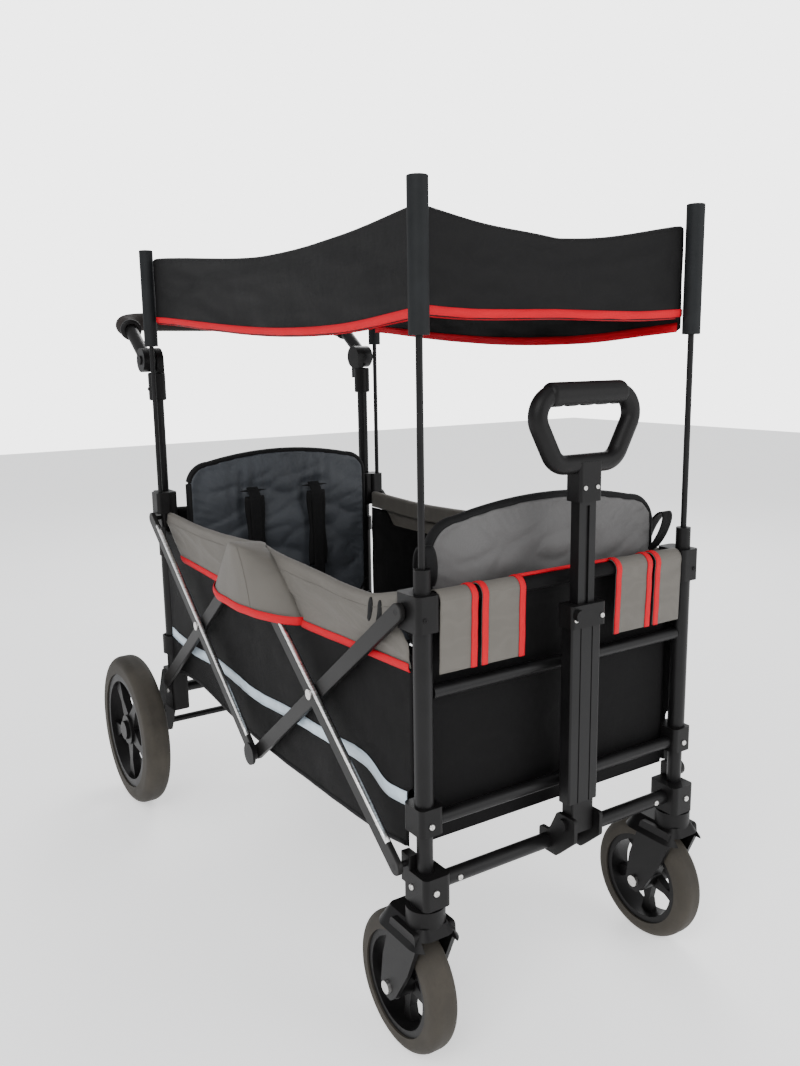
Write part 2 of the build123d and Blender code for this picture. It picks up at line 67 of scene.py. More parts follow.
FRONT_X = middle_x("front_lower_posts")
REAR_X = middle_x("rear_lower_posts")
MID_X = (FRONT_X + REAR_X) / 2
POST_LOW, POST_HIGH = box_of("front_lower_posts")
TRACK = POST_HIGH.y - (POST_HIGH.x - POST_LOW.x) / 2
SLEEVE_LOW, SLEEVE_HIGH = box_of("canopy_sleeves_front")
REAR_SLEEVE_HIGH = box_of("canopy_sleeves_rear")[1]
MAT_LOW, MAT_HIGH = box_of("floor_mat")
REAR_SEAT_X = middle_x("rear_seat_back")
FRONT_SEAT_X = middle_x("front_seat_back")
BACK_LOW, BACK_HIGH = box_of("rear_seat_back")
SEAT_ROD = 0.006             # radius of the rod about which a seat back folds
SEAT_HINGE_Z = BACK_LOW.z + SEAT_ROD
FRONT_RAIL_Z, REAR_RAIL_Z = 0.648, 0.640
BLOCK_Z = 0.262              # height of the lower cross tubes
HARNESS_Y = 0.072            # each shoulder strap's distance from the middle
PUSH_RING = (REAR_X - 0.101, TRACK + 0.0135, 1.014)
PUSH_RING_AXIS = (-0.980, -0.0566, 0.189)
CLOTH = 0.0012               # thickness of the basket's fabric
SIDES = ((-1, "right"), (1, "left"))


# ------------------------------------------------------------------ materials
class Nodes:
    """Short way to write a node material."""

    def __init__(self, name, colour, rough, metallic=0.0, sheen=0.0, specular=0.5):
        self.material = bpy.data.materials.new(name)
        self.material.use_nodes = True
        self.tree = self.material.node_tree
        self.tree.nodes.clear()
        output = self.tree.nodes.new("ShaderNodeOutputMaterial")
        self.shader = self.tree.nodes.new("ShaderNodeBsdfPrincipled")
        self.link(self.shader.outputs[0], output.inputs[0])
        self.set("Base Color", (*colour, 1))
        self.set("Roughness", rough)
        self.set("Metallic", metallic)
        self.set("Sheen Weight", sheen)
        self.set("Specular IOR Level", specular)
        coordinates = self.tree.nodes.new("ShaderNodeTexCoord")
        self.place = coordinates.outputs["Object"]

    def set(self, socket, value):
        self.shader.inputs[socket].default_value = value

    def link(self, source, target):
        self.tree.links.new(source, target)

    def noise(self, scale, detail=3.0, rough=0.5, stretch=(1, 1, 1)):
        node = self.tree.nodes.new("ShaderNodeTexNoise")
        node.inputs["Scale"].default_value = scale
        node.inputs["Detail"].default_value = detail
        node.inputs["Roughness"].default_value = rough
        mapping = self.tree.nodes.new("ShaderNodeMapping")
        mapping.inputs["Scale"].default_value = stretch
        self.link(self.place, mapping.inputs[0])
        self.link(mapping.outputs[0], node.inputs["Vector"])
        return node.outputs["Fac"]

    def wave(self, scale, direction):
        node = self.tree.nodes.new("ShaderNodeTexWave")
        node.bands_direction = direction
        node.inputs["Scale"].default_value = scale
        self.link(self.place, node.inputs["Vector"])
        return node.outputs["Fac"]

    def math(self, operation, a, b):
        node = self.tree.nodes.new("ShaderNodeMath")
        node.operation = operation
        for index, value in enumerate((a, b)):
            if isinstance(value, (int, float)):
                node.inputs[index].default_value = value
            else:
                self.link(value, node.inputs[index])
        return node.outputs[0]

    def ramp(self, factor, stops):
        node = self.tree.nodes.new("ShaderNodeValToRGB")
        elements = node.color_ramp.elements
        while len(elements) < len(stops):
            elements.new(0.5)
        for element, (position, colour) in zip(elements, stops):
            element.position = position
            element.color = (*colour, 1)
        self.link(factor, node.inputs[0])
        return node.outputs[0]

    def span(self, factor, low, high):
        node = self.tree.nodes.new("ShaderNodeMapRange")
        node.inputs["To Min"].default_value = low
        node.inputs["To Max"].default_value = high
        self.link(factor, node.inputs["Value"])
        return node.outputs[0]

    def colour(self, factor, dark, light, low=0.3, high=0.7):
        self.link(self.ramp(factor, [(low, dark), (high, light)]), self.shader.inputs["Base Color"])

    def rough(self, factor, low, high):
        self.link(self.span(factor, low, high), self.shader.inputs["Roughness"])

    def bump(self, height, strength, distance, under=None):
        node = self.tree.nodes.new("ShaderNodeBump")
        node.inputs["Strength"].default_value = strength
        node.inputs["Distance"].default_value = distance
        self.link(height, node.inputs["Height"])
        if under is not None:
            self.link(under, node.inputs["Normal"])
        self.link(node.outputs[0], self.shader.inputs["Normal"])
        return node.outputs[0]


def scaled(colour, factor):
    return tuple(min(1.0, channel * factor) for channel in colour)


def weave_material(name, colour, pitch, rough, sheen, contrast, creasing, specular):
    """Plain woven cloth: threads both ways at the given pitch, soft creases and uneven dye."""
    m = Nodes(name, colour, rough, sheen=sheen, specular=specular)
    bands = 1 / pitch / 2
    across = m.wave(bands, "X")
    along = m.wave(bands, "Z")
    depth = m.wave(bands, "Y")
    threads = m.math("MAXIMUM", m.math("MULTIPLY", across, depth), along)
    cloud = m.noise(14, 4)
    mixed = m.math("ADD", m.math("MULTIPLY", threads, 0.45), m.math("MULTIPLY", cloud, 0.55))
    m.colour(mixed, scaled(colour, 1 - contrast), scaled(colour, 1 + contrast))
    creased = m.bump(m.noise(26, 3, 0.55, (1, 1, 0.6)), creasing, 0.004)
    m.bump(threads, 0.35, pitch * 0.4, creased)
    m.rough(cloud, rough - 0.08, min(1.0, rough + 0.1))
    return m.material


def paint_material(name, colour, rough, wear=0.12):
    """Powder coat: fine orange peel, dust and rubbed patches."""
    m = Nodes(name, colour, rough, specular=0.19)
    peel = m.noise(900, 2)
    patch = m.noise(18, 5, 0.6)
    m.colour(patch, scaled(colour, 0.8), scaled(colour, 1 + wear * 5), 0.35, 0.75)
    m.rough(patch, rough - 0.07, rough + 0.12)
    m.bump(peel, 0.12, 0.0006)
    return m.material


def plastic_material(name, colour, rough, grain=1400):
    """Moulded plastic with a fine spark-eroded grain."""
    m = Nodes(name, colour, rough, specular=0.16)
    fine = m.noise(grain, 2)
    patch = m.noise(30, 4)
    m.colour(patch, scaled(colour, 0.85), scaled(colour, 1.35))
    m.rough(patch, rough - 0.06, rough + 0.08)
    m.bump(fine, 0.25, 0.0005)
    return m.material


def metal_material(name, colour, rough):
    m = Nodes(name, colour, rough, metallic=1.0)
    brushed = m.noise(60, 3, 0.5, (1, 1, 14))
    m.colour(brushed, scaled(colour, 0.75), scaled(colour, 1.15))
    m.rough(brushed, rough - 0.1, rough + 0.12)
    m.bump(brushed, 0.08, 0.0004)
    return m.material


def rubber_material(name, colour, rough, grain=500, dust=1.5):
    m = Nodes(name, colour, rough, specular=0.2)
    fine = m.noise(grain, 3)
    patch = m.noise(11, 5, 0.62)
    m.colour(patch, scaled(colour, 0.75), scaled(colour, dust), 0.3, 0.72)
    m.rough(patch, rough - 0.08, min(1.0, rough + 0.08))
    m.bump(fine, 0.3, 0.0008)
    return m.material


def tape_material(name, colour):
    """Reflective tape: fine hexagonal cells under a smooth silver surface."""
    m = Nodes(name, colour, 0.32, metallic=0.1, specular=0.5)
    cells = m.tree.nodes.new("ShaderNodeTexVoronoi")
    cells.inputs["Scale"].default_value = 420
    m.link(m.place, cells.inputs["Vector"])
    patch = m.noise(22, 4)
    m.colour(patch, scaled(colour, 0.72), scaled(colour, 1.12))
    m.bump(cells.outputs["Distance"], 0.2, 0.0006)
    m.rough(patch, 0.25, 0.45)
    return m.material


BLACK = (0.0042, 0.0040, 0.0042)
LOOKS = {
    "frame_paint": (paint_material, (0.0050, 0.0048, 0.0050), 0.36),
    "link_paint": (paint_material, (0.0078, 0.0074, 0.0072), 0.42),
    "black_plastic": (plastic_material, (0.0050, 0.0047, 0.0048), 0.44),
    "charcoal_sleeve": (plastic_material, (0.0092, 0.0102, 0.0110), 0.60, 900),
    "zinc_steel": (metal_material, (0.62, 0.61, 0.59), 0.34),
    "tyre": (rubber_material, (0.034, 0.030, 0.0245), 0.72),
    "foam_grip": (rubber_material, (0.0150, 0.0118, 0.0104), 0.82, 900),
    "canopy_fabric": (weave_material, BLACK, 0.0009, 0.52, 0.0, 0.25, 0.35, 0.14),
    "black_fabric": (weave_material, BLACK, 0.0012, 0.60, 0.0, 0.25, 0.35, 0.09),
    "grey_fabric": (weave_material, (0.108, 0.100, 0.088), 0.0012, 0.62, 0.04, 0.14, 0.35, 0.25),
    "seat_fabric": (weave_material, (0.040, 0.045, 0.053), 0.0010, 0.46, 0.05, 0.16, 0.55, 0.40),
    "seat_fabric_pale": (weave_material, (0.080, 0.078, 0.077), 0.0010, 0.48, 0.05, 0.14, 0.55, 0.40),
    "red_trim": (weave_material, (0.52, 0.0040, 0.0150), 0.0011, 0.6, 0.0, 0.12, 0.15, 0.12),
    "reflective_tape": (tape_material, (0.52, 0.62, 0.70)),
    # nearly white metal for the painted highlight strips on the links' upper edges
    "bright_edge": (metal_material, (0.92, 0.91, 0.88), 0.30),
    "webbing": (weave_material, (0.0038, 0.0038, 0.0041), 0.0018, 0.66, 0.02, 0.3, 0.1, 0.16),
}
MATERIALS = {name: make(name, *values) for name, (make, *values) in LOOKS.items()}


def paint_nodes():
    """Give every carried-over CAD node the material of its slot; the rear axle's rod is painted black."""
    slots = {row["node"]: row["material_slot"] for row in frame["record"]["subparts"]}
    for name, obj in frame["nodes"].items():
        obj.data.materials.clear()
        obj.data.materials.append(MATERIALS["frame_paint" if name == "rear_axle" else slots[name]])


def shade_smooth(obj):
    obj.data.polygons.foreach_set("use_smooth", [True] * len(obj.data.polygons))
    obj.data.update()


def add_piece(name, verts, faces, slot, body, smooth=True):
    mesh = bpy.data.meshes.new(name)
    mesh.from_pydata([tuple(v) for v in verts], [], faces)
    mesh.update()
    obj = bpy.data.objects.new(name, mesh)
    bpy.context.scene.collection.objects.link(obj)
    mesh.materials.append(MATERIALS[slot])
    if smooth:
        shade_smooth(obj)
    if body:
        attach(obj, body)
    return obj


def modify(obj, kind, **values):
    modifier = obj.modifiers.new(kind.lower(), kind)
    for key, value in values.items():
        setattr(modifier, key, value)
    return modifier


def apply_modifiers(obj):
    """Bake the modifier stack into the mesh."""
    graph = bpy.context.evaluated_depsgraph_get()
    mesh = bpy.data.meshes.new_from_object(obj.evaluated_get(graph), depsgraph=graph)
    old = obj.data
    obj.modifiers.clear()
    obj.data = mesh
    bpy.data.meshes.remove(old)


def smoothed_once(obj):
    """One level of subdivision, applied."""
    modify(obj, "SUBSURF", levels=1, render_levels=1)
    apply_modifiers(obj)
    shade_smooth(obj)


def smoothstep(t):
    t = max(0.0, min(1.0, t))
    return t * t * (3 - 2 * t)


def rounded(value, power):
    """A sine or cosine bent towards a rounded rectangle, its sign kept."""
    return copysign(abs(value) ** power, value)


def tidy_profile(x, stops):
    """Value at x on a smooth curve through the (x, value) stops."""
    last = len(stops) - 1
    if x <= stops[0][0]:
        return stops[0][1]
    if x >= stops[last][0]:
        return stops[last][1]

    def slope(index):
        before, after = stops[max(index - 1, 0)], stops[min(index + 1, last)]
        return (after[1] - before[1]) / (after[0] - before[0])

    index = next(i for i in range(last) if x <= stops[i + 1][0])
    (x0, v0), (x1, v1) = stops[index], stops[index + 1]
    span = x1 - x0
    t = (x - x0) / span
    start = v0 * (1 + 2 * t) * (1 - t) ** 2 + slope(index) * span * t * (1 - t) ** 2
    return start + v1 * t * t * (3 - 2 * t) + slope(index + 1) * span * t * t * (t - 1)


def ripple(x, y, z, scale, seed=0.0):
    """Smooth noise from -1 to 1."""
    return noise.noise(Vector((x * scale + seed, y * scale, z * scale)))


def crease(x, y, z, scale, seed=0.0):
    """Thin ridges between 0 and 1, like the creases of crumpled cloth."""
    return (1 - min(1.0, 1.6 * abs(ripple(x, y, z, scale, seed)))) ** 3


def quads(rows, columns, across, total):
    """Faces between rows of points; where a row, or the last row, closes, it joins the first point or row."""
    faces = []
    for row in range(rows):
        for column in range(columns):
            a = row * across + column
            b = row * across + (column + 1) % across
            faces.append((a, b, (b + across) % total, (a + across) % total))
    return faces


def grid_piece(name, point, columns, rows, slot, body, thick=0.0, closed=False, mirror=1):
    """Surface from point(u, v), u and v from 0 to 1, with a thickness when one is given."""
    verts = []
    across = columns if closed else columns + 1
    for row in range(rows + 1):
        for column in range(across):
            x, y, z = point(column / columns, row / rows)
            verts.append((x, mirror * y, z))
    obj = add_piece(name, verts, quads(rows, columns, across, len(verts)), slot, None)
    if thick:
        modify(obj, "SOLIDIFY", thickness=thick, offset=0)
        apply_modifiers(obj)
    shade_smooth(obj)
    if body:
        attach(obj, body)
    return obj


def tube_piece(name, points, radius, slot, body, sides=10, closed=False, flat=1.0):
    """Round or flattened tube along a list of points, its ends closed."""
    points = [Vector(p) for p in points]
    count = len(points)
    verts = []
    for index, here in enumerate(points):
        before = points[index - 1] if index or closed else here
        after = points[(index + 1) % count] if index < count - 1 or closed else here
        ahead = (after - before).normalized()
        side = ahead.cross(Vector((0, 0, 1)))
        if side.length < 0.2:
            side = ahead.cross(Vector((0, 1, 0)))
        side.normalize()
        up = side.cross(ahead)
        for step in range(sides):
            angle = 2 * pi * step / sides
            offset = side * cos(angle) * radius * flat + up * sin(angle) * radius
            verts.append(here + offset)
    faces = quads(count if closed else count - 1, sides, sides, count * sides)
    if not closed:
        faces.append(tuple(range(sides))[::-1])
        faces.append(tuple(range((count - 1) * sides, count * sides)))
    return add_piece(name, verts, faces, slot, body)


def gather(pieces):
    """Give each piece its own copy of its mesh."""
    for piece in pieces:
        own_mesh(piece)


# ------------------------------------------------------------------ canopy
CANOPY_CORNERS = [
    (REAR_SLEEVE_HIGH.x - 0.004, REAR_SLEEVE_HIGH.y - 0.020),
    (SLEEVE_LOW.x + 0.004, SLEEVE_HIGH.y - 0.020),
]
SIDE_TOP = [(REAR_X, 1.146), (-0.28, 1.141), (0.10, 1.113), (0.354, 1.118), (0.55, 1.134)]
SIDE_LOW = [(REAR_X, 1.024), (-0.28, 1.018), (0.09, 0.989), (0.35, 0.985), (0.55, 0.999)]
END_TOP = [(0, -0.029), (0.11, -0.020), (0.24, 0.0)]
END_LOW = [(0, 0.001), (0.15, -0.001), (0.24, 0.003)]


def canopy_edge(t):
    """Point (x, y) on the canopy's outline for t from 0 to 4, corner to corner."""
    (rear_x, rear_y), (front_x, front_y) = CANOPY_CORNERS
    corners = [(rear_x, -rear_y), (front_x, -front_y), (front_x, front_y), (rear_x, rear_y)]
    side = int(t) % 4
    f = t - int(t)
    (x0, y0), (x1, y1) = corners[side], corners[(side + 1) % 4]
    bow = 0.013 * sin(pi * f)
    x, y = x0 + (x1 - x0) * f, y0 + (y1 - y0) * f
    inward = [(0, 1), (-1, 0), (0, -1), (1, 0)][side]
    return x + inward[0] * bow, y + inward[1] * bow


def canopy_top(x, y):
    edge = tidy_profile(x, SIDE_TOP)
    ends = tidy_profile(abs(y), END_TOP)
    wrinkle = 0.0035 * ripple(x, y, 0, 7) + 0.0018 * ripple(x, y * 0.4, 0, 19, 5)
    inside = max(0.0, 1 - (y / 0.24) ** 2)
    return edge + ends + wrinkle * inside


def canopy_low(x, y, side):
    """Height of the hem; the left side hangs a little lower."""
    if side % 2 == 0:
        return tidy_profile(x, SIDE_LOW) - (0.016 if y > 0 else 0.0)
    return tidy_profile(x, SIDE_LOW) + tidy_profile(abs(y), END_LOW)


def skirt_point(t, v, out=0.0):
    """Point on the canopy's hanging side, v from 0 at the roof to 1 at the hem."""
    x, y = canopy_edge(t)
    top = canopy_top(x, y)
    low = canopy_low(x, y, int(t) % 4)
    f = t - int(t)
    slack = sin(pi * f)
    normal = [(0, -1), (1, 0), (0, 1), (-1, 0)][int(t) % 4]
    roll = 0.004 * exp(-((v - 0.03) / 0.035) ** 2)
    pleat = 0.0060 * ripple(t * 2.2, v * 0.8, 0, 2.6, 3) + 0.0032 * ripple(t * 3, v * 1.7, 0, 4.5, 9)
    pleat -= 0.0042 * crease(t * 1.1 + v * 0.25, v * 0.35, 0, 2.4, 4)
    fold = 0.006 * exp(-f * 14) * sin(v * 9) + 0.006 * exp(-(1 - f) * 14) * sin(v * 8 + 1)
    away = (pleat * min(1, v * 4) + fold * v) * min(1.0, slack * 5) + roll * slack + out
    return Vector((x + normal[0] * away, y + normal[1] * away, top + (low - top) * v))


def canopy_mesh():
    """Rings from the hem up the hanging sides, then inwards over the roof to its middle."""
    around = 160
    inner = 22
    rows = 16
    verts = []
    for row in range(rows, -1, -1):
        for step in range(around):
            verts.append(skirt_point(4 * step / around, row / rows))
    for ring in range(1, inner):
        share = 1 - ring / inner
        for step in range(around):
            x, y = canopy_edge(4 * step / around)
            x, y = MID_X + (x - MID_X) * share, y * share
            verts.append(Vector((x, y, canopy_top(x, y))))
    rings = rows + inner
    faces = quads(rings - 1, around, around, len(verts))
    verts.append(Vector((MID_X, 0, canopy_top(MID_X, 0))))
    last = (rings - 1) * around
    for step in range(around):
        faces.append((last + step, last + (step + 1) % around, len(verts) - 1))
    return verts, faces


def binding_point(u, v, side):
    """Red binding folded round the hem, v from 0 outside to 1 inside."""
    ends = 0.012
    deep = 0.0135
    t = side + ends + (1 - 2 * ends) * u
    height = skirt_point(t, 0).z - skirt_point(t, 1).z
    back = 0.0015 if v < 0.5 else -0.0015
    share = abs(v - 0.5) * 2
    return skirt_point(t, 1 + 0.0008 / height - share * deep / height, back)


def build_canopy():
    verts, faces = canopy_mesh()
    cover = add_piece("canopy_cover", verts, faces, "canopy_fabric", None)
    modify(cover, "SOLIDIFY", thickness=0.0011, offset=0)
    smoothed_once(cover)
    binding = []
    for index, side in enumerate(("right", "front", "left", "rear")):
        binding.append(grid_piece(f"canopy_binding_{side}", lambda u, v: binding_point(u, v, index),
                                  60, 6, "red_trim", None, 0.0006))
    for piece in [cover] + binding:
        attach(piece, "canopy_rear")
    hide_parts("canopy_cloth")
    gather([cover] + binding)


# ------------------------------------------------------------------ basket sides
RIM = [(-0.34, 0.647), (-0.15, 0.642), (0.04, 0.648), (0.0935, 0.652), (0.15, 0.647), (0.30, 0.640),
       (0.45, 0.637), (0.5225, 0.652)]
PIPING = [(-0.30, 0.566), (-0.07, 0.559), (0.25, 0.552), (0.40, 0.556), (0.54, 0.560)]
HEM = [(-0.355, 0.312), (-0.22, 0.322), (-0.06, 0.305), (0.10, 0.294), (0.44, 0.296), (0.53, 0.307)]
TAPE = [(-0.35, 0.395), (-0.22, 0.386), (-0.10, 0.392), (0.06, 0.380), (0.20, 0.388), (0.34, 0.391),
        (0.43, 0.392), (0.485, 0.373), (0.54, 0.376)]
WALL_Y = TRACK + 0.0062
PANEL_START = REAR_X + 0.0215
PANEL_END = FRONT_X - 0.0275
PANEL_LENGTH = PANEL_END - PANEL_START
BAND_FLAT, BAND_TURN = 0.62, 0.24    # shares of the band below the rim and round it; the rest hangs inside
BAND_DROP = 0.028
RIM_RADIUS = 0.0062
SLOT_HALF_WIDTH, SLOT_HALF_HEIGHT, SLOT_Z = 0.0052, 0.017, 0.619


def panel_end(z):
    """Front edge of the side fabric: it reaches the post between the bracket and the collar."""
    return PANEL_END + 0.0125 * smoothstep((z - 0.385) / 0.012) * (1 - smoothstep((z - 0.590) / 0.012))


def wall_y(x, z):
    """Outer face of the basket's side fabric."""
    tx = (x - PANEL_START) / PANEL_LENGTH
    tz = (z - 0.3) / 0.34
    billow = 0.0035 * sin(pi * max(0, min(1, tx))) * sin(pi * max(0, min(1, tz)))
    sag = 0.0016 * ripple(x, 0, z * 1.6, 9) + 0.0009 * ripple(x, 0, z, 24, 7)
    return WALL_Y + billow + sag


def band_y(x, z):
    """Outer face of the grey band, with long folds that run down from the rear corner."""
    across = (z - 0.56) / 0.085
    lean = across * 5.2 + (x + 0.3) * 9.0
    fold = 0.0014 * sin(lean * 1.7) + 0.0026 * crease(x * 0.45, 0, z * 2.6 + x * 0.5, 15, 3)
    return wall_y(x, z) + 0.0017 + (0.0014 + fold) * sin(pi * max(0.0, min(1.0, across)))



# The points of a side are those of the left one; build_side mirrors them for the right one.
def panel_point(u, v):
    """Black side fabric, v from the hem up; its top rises near the rear post."""
    guess = PANEL_START + PANEL_LENGTH * u
    low = tidy_profile(guess, HEM)
    high = 0.578 + 0.030 * (1 - smoothstep((guess - REAR_X - 0.085) / 0.03))
    z = low + (high - low) * v
    x = PANEL_START + (panel_end(z) - PANEL_START) * u
    return Vector((x, wall_y(x, z), z))


def hem_point(u):
    x = PANEL_START + 0.012 + (PANEL_LENGTH - 0.02) * u
    z = tidy_profile(x, HEM) + 0.002
    return Vector((x, wall_y(x, z) - 0.001, z))


def band_start(z):
    """Rear edge of the band, which slants forwards below the rim."""
    return REAR_X + 0.026 + (0.636 - z) * 1.30


def band_point(u, v):
    """Grey band: up to the rim, half a turn over it, then a little way down inside."""
    x_low = REAR_X + 0.03
    guess = x_low + (PANEL_END - x_low) * u
    rim = tidy_profile(guess, RIM)
    low = tidy_profile(guess, PIPING)
    z = low + (rim - RIM_RADIUS - low) * min(1.0, v / BAND_FLAT)
    start = max(REAR_X + 0.0395, band_start(z))
    collar = smoothstep((z - 0.600) / 0.010)
    end = panel_end(z) + (0.5215 - PANEL_END) * collar
    x = start + (end - start) * u
    y = band_y(x, z)
    if v <= BAND_FLAT:
        return Vector((x, y, z))
    y_top = y - RIM_RADIUS
    turn = (v - BAND_FLAT) / BAND_TURN
    if turn <= 1:
        angle = pi * turn
        return Vector((x, y_top + RIM_RADIUS * cos(angle), z + RIM_RADIUS * sin(angle)))
    drop = (v - BAND_FLAT - BAND_TURN) / (1 - BAND_FLAT - BAND_TURN) * BAND_DROP
    return Vector((x, y_top - RIM_RADIUS, z - drop))


def piping_point(u, v, first, last):
    """Red piping between first and last along the band's lower edge."""
    x = first + (last - first) * u
    z = tidy_profile(x, PIPING) + 0.0065 - 0.012 * v
    x = max(x, band_start(z))
    return Vector((x, band_y(x, z + 0.004) + 0.0012 + 0.0016 * sin(pi * v), z))


def flap_point(u, v, out=0.0):
    """Flap over the top centre joint, from its apex at v = 0 down to its lower edge."""
    side_turn = u * 2 - 1
    half = 0.010 + 0.150 * v ** 0.76
    x = MID_X + 0.002 + side_turn * half
    rise = smoothstep(v / 0.13)
    bulge = 0.049 * rise * max(0.0, 1 - abs(side_turn) ** 2.2) ** 0.6
    lift = 0.012 * (1 - side_turn ** 2) * rise * (1 - v)
    z = 0.6532 - 0.0982 * v ** 1.35 + lift + 0.0012 * ripple(x, v, 0, 22)
    soft = 0.0022 * ripple(side_turn * 2.2, v * 0.7, 0, 1.6, 2) * v
    onto_rim = 0.0090 * (1 - smoothstep(v / 0.07))
    return Vector((x, WALL_Y + 0.0022 - onto_rim + bulge + soft + out, z))


def flap_edge_point(u, v):
    """Red piping along the flap's lower edge."""
    place = flap_point(u, 1.0, 0.0013 + 0.0018 * sin(pi * v))
    place.z += 0.008 - 0.013 * v
    return place


def tape_point(u, v):
    x = PANEL_START + 0.004 + (PANEL_LENGTH - 0.006) * u
    z = tidy_profile(x, TAPE) + 0.0100 - 0.020 * v
    return Vector((x, wall_y(x, z) + 0.0011 + 0.0006 * ripple(x, 0, 0, 60), z))


def slot_shade_point(u, v, centre):
    """Dark upright patch on the band, painted as the shade inside a slot, slightly tilted."""
    angle = 2 * pi * u
    tilt = 0.10 * SLOT_HALF_HEIGHT * v * sin(angle)
    x = centre + SLOT_HALF_WIDTH * v * cos(angle) + tilt
    z = SLOT_Z + SLOT_HALF_HEIGHT * v * rounded(sin(angle), 0.6)
    return Vector((x, band_y(x, z) + 0.0014 - 0.0008 * v, z))


def build_side(sign, side):

    def cloth(part, point, columns, rows, slot, thick=CLOTH, closed=False):
        return grid_piece(f"side_{part}_{side}", point, columns, rows, slot, None, thick, closed, sign)

    def cord(part, points, radius, slot, sides=6, flat=1.0):
        mirrored = [(x, sign * y, z) for x, y, z in points]
        return tube_piece(f"side_{part}_{side}", mirrored, radius, slot, None, sides, flat=flat)

    panel = cloth("panel", panel_point, 110, 40, "black_fabric")
    hem = cord("hem", [hem_point(step / 60) for step in range(61)], 0.0045, "webbing", 10, 0.75)
    grey = cloth("band", band_point, 110, 50, "grey_fabric")
    lifted = Vector((0, 0.0006, 0))
    stitches = [band_point(step / 90, 0.53) + lifted for step in range(91)]
    pieces = [panel, hem, grey, cord("rim_seam", stitches, 0.0007, "grey_fabric")]
    for part, first, last in (("rear", -0.31, -0.066), ("front", 0.250, 0.5480)):
        pieces.append(cloth("piping_" + part, lambda u, v: piping_point(u, v, first, last), 50, 5, "red_trim"))
    tent = cloth("flap", flap_point, 60, 36, "grey_fabric", 0.0014)
    edge = cloth("flap_piping", flap_edge_point, 60, 5, "red_trim", 0.0014)
    ridge = [flap_point(0.70, 0.14 + 0.83 * step / 20, 0.0008) for step in range(21)]
    flaps = [tent, edge, cord("flap_seam", ridge, 0.0009, "grey_fabric")]
    pieces.append(cloth("tape", tape_point, 140, 3, "reflective_tape", 0.0006))
    # two dark patches painted as the shade inside the band's slots
    for number, centre in ((1, 0.4545), (2, 0.4765)):
        pieces.append(cloth(f"slot_{number}", lambda u, v: slot_shade_point(u, v, centre), 24, 4, "webbing",
                            0.0010, closed=True))
    for piece in pieces + flaps:
        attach(piece, "rear_upper")
    gather(pieces)
    gather(flaps)
    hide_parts("side_panels")


# ------------------------------------------------------------------ end panels and straps
def build_end_panel(name, node, body, rail_x, rail_z, inward):
    """Fabric end of the basket, its top edge wrapped over the rail."""
    wrap = 0.0107
    plane = rail_x + inward * 0.0128
    half = TRACK - 0.0195
    low = 0.315
    flat = 0.7

    def cloth(u, v):
        y = -half + 2 * half * u
        wrinkle = 0.0015 * ripple(0, y * 0.8, v, 6, rail_x) + 0.0009 * ripple(0, y, v * 0.4, 15, 4)
        if v <= flat:
            z = low + (rail_z - 0.004 - low) * v / flat
            away = inward * max(0.0, wrinkle * 1.6) * sin(pi * v / flat)
            near = smoothstep((v - 0.62) / 0.08)
            x = plane + away + (rail_x + inward * wrap - plane) * near
            return Vector((x, y, z))
        turn = (v - flat) / (1 - flat)
        angle = -0.35 + (pi + 0.9) * turn
        reach = wrap + 0.0005 * ripple(0, y, turn, 40)
        return Vector((rail_x + inward * reach * cos(angle), y, rail_z + reach * sin(angle)))

    panel = grid_piece(name, cloth, 80, 60, "black_fabric", body, 0.0010)
    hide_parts(node)


STRAP_LENGTH = 0.092         # of the part that shows in front of the rail
STRAP_EDGE = 0.0095


def strap_path(share):
    """Point (x, z) on a strap hooked over the front rail, share from 0 inside to 1 at its lower end."""
    reach = 0.0128
    inside = 0.035
    flare = 0.0024
    arc = pi * reach
    d = share * (inside + arc + STRAP_LENGTH)
    if d < inside:
        return FRONT_X - reach, FRONT_RAIL_Z - inside + d
    if d < inside + arc:
        angle = pi - (d - inside) / reach
        return FRONT_X + reach * cos(angle), FRONT_RAIL_Z + reach * sin(angle)
    down = d - inside - arc
    return FRONT_X + reach + flare * smoothstep(down / STRAP_LENGTH), FRONT_RAIL_Z - down


def strap_point(y, share, out, lean):
    """Point on a strap, out from its middle surface; lean shifts its lower end sideways."""
    x, z = strap_path(share)
    wave = 0.0012 * ripple(0, y, z, 30, 2)
    if x > FRONT_X:
        y += lean * max(0.0, (FRONT_RAIL_Z - z) / STRAP_LENGTH)
    place = Vector((x, y, z))
    normal = (place - Vector((FRONT_X, y, min(z, FRONT_RAIL_Z)))).normalized()
    return place + normal * (out + abs(wave))


def build_front_straps():
    """Four straps; the outer two have a red edge only towards the middle."""
    spans = [("outer_right", -0.2215, -0.163, "b"), ("inner_right", -0.155, -0.083, "ab"),
             ("inner_left", 0.086, 0.158, "ab"), ("outer_left", 0.166, 0.2215, "a")]
    for label, low, high, marks in spans:
        lean = -0.004 if low < 0 else -0.006
        strap = grid_piece(f"front_strap_{label}",
                           lambda u, v: strap_point(low + (high - low) * u, v, 0.0008, lean),
                           12, 40, "grey_fabric", "front_upper", 0.0014)
        for mark in marks:
            start = low if mark == "a" else high - STRAP_EDGE

            def edge(u, v):
                return strap_point(start + STRAP_EDGE * u, v, 0.0022 + 0.0006 * sin(pi * u), lean)

            grid_piece(f"front_strap_edge_{label}_{mark}", edge, 5, 40, "red_trim",
                                    "front_upper", 0.0014)
    points = [(FRONT_X - 0.004, -0.083 + 0.169 * step / 24, FRONT_RAIL_Z + 0.0125) for step in range(25)]
    tube_piece("front_rim_piping", points, 0.0028, "red_trim", "front_upper")


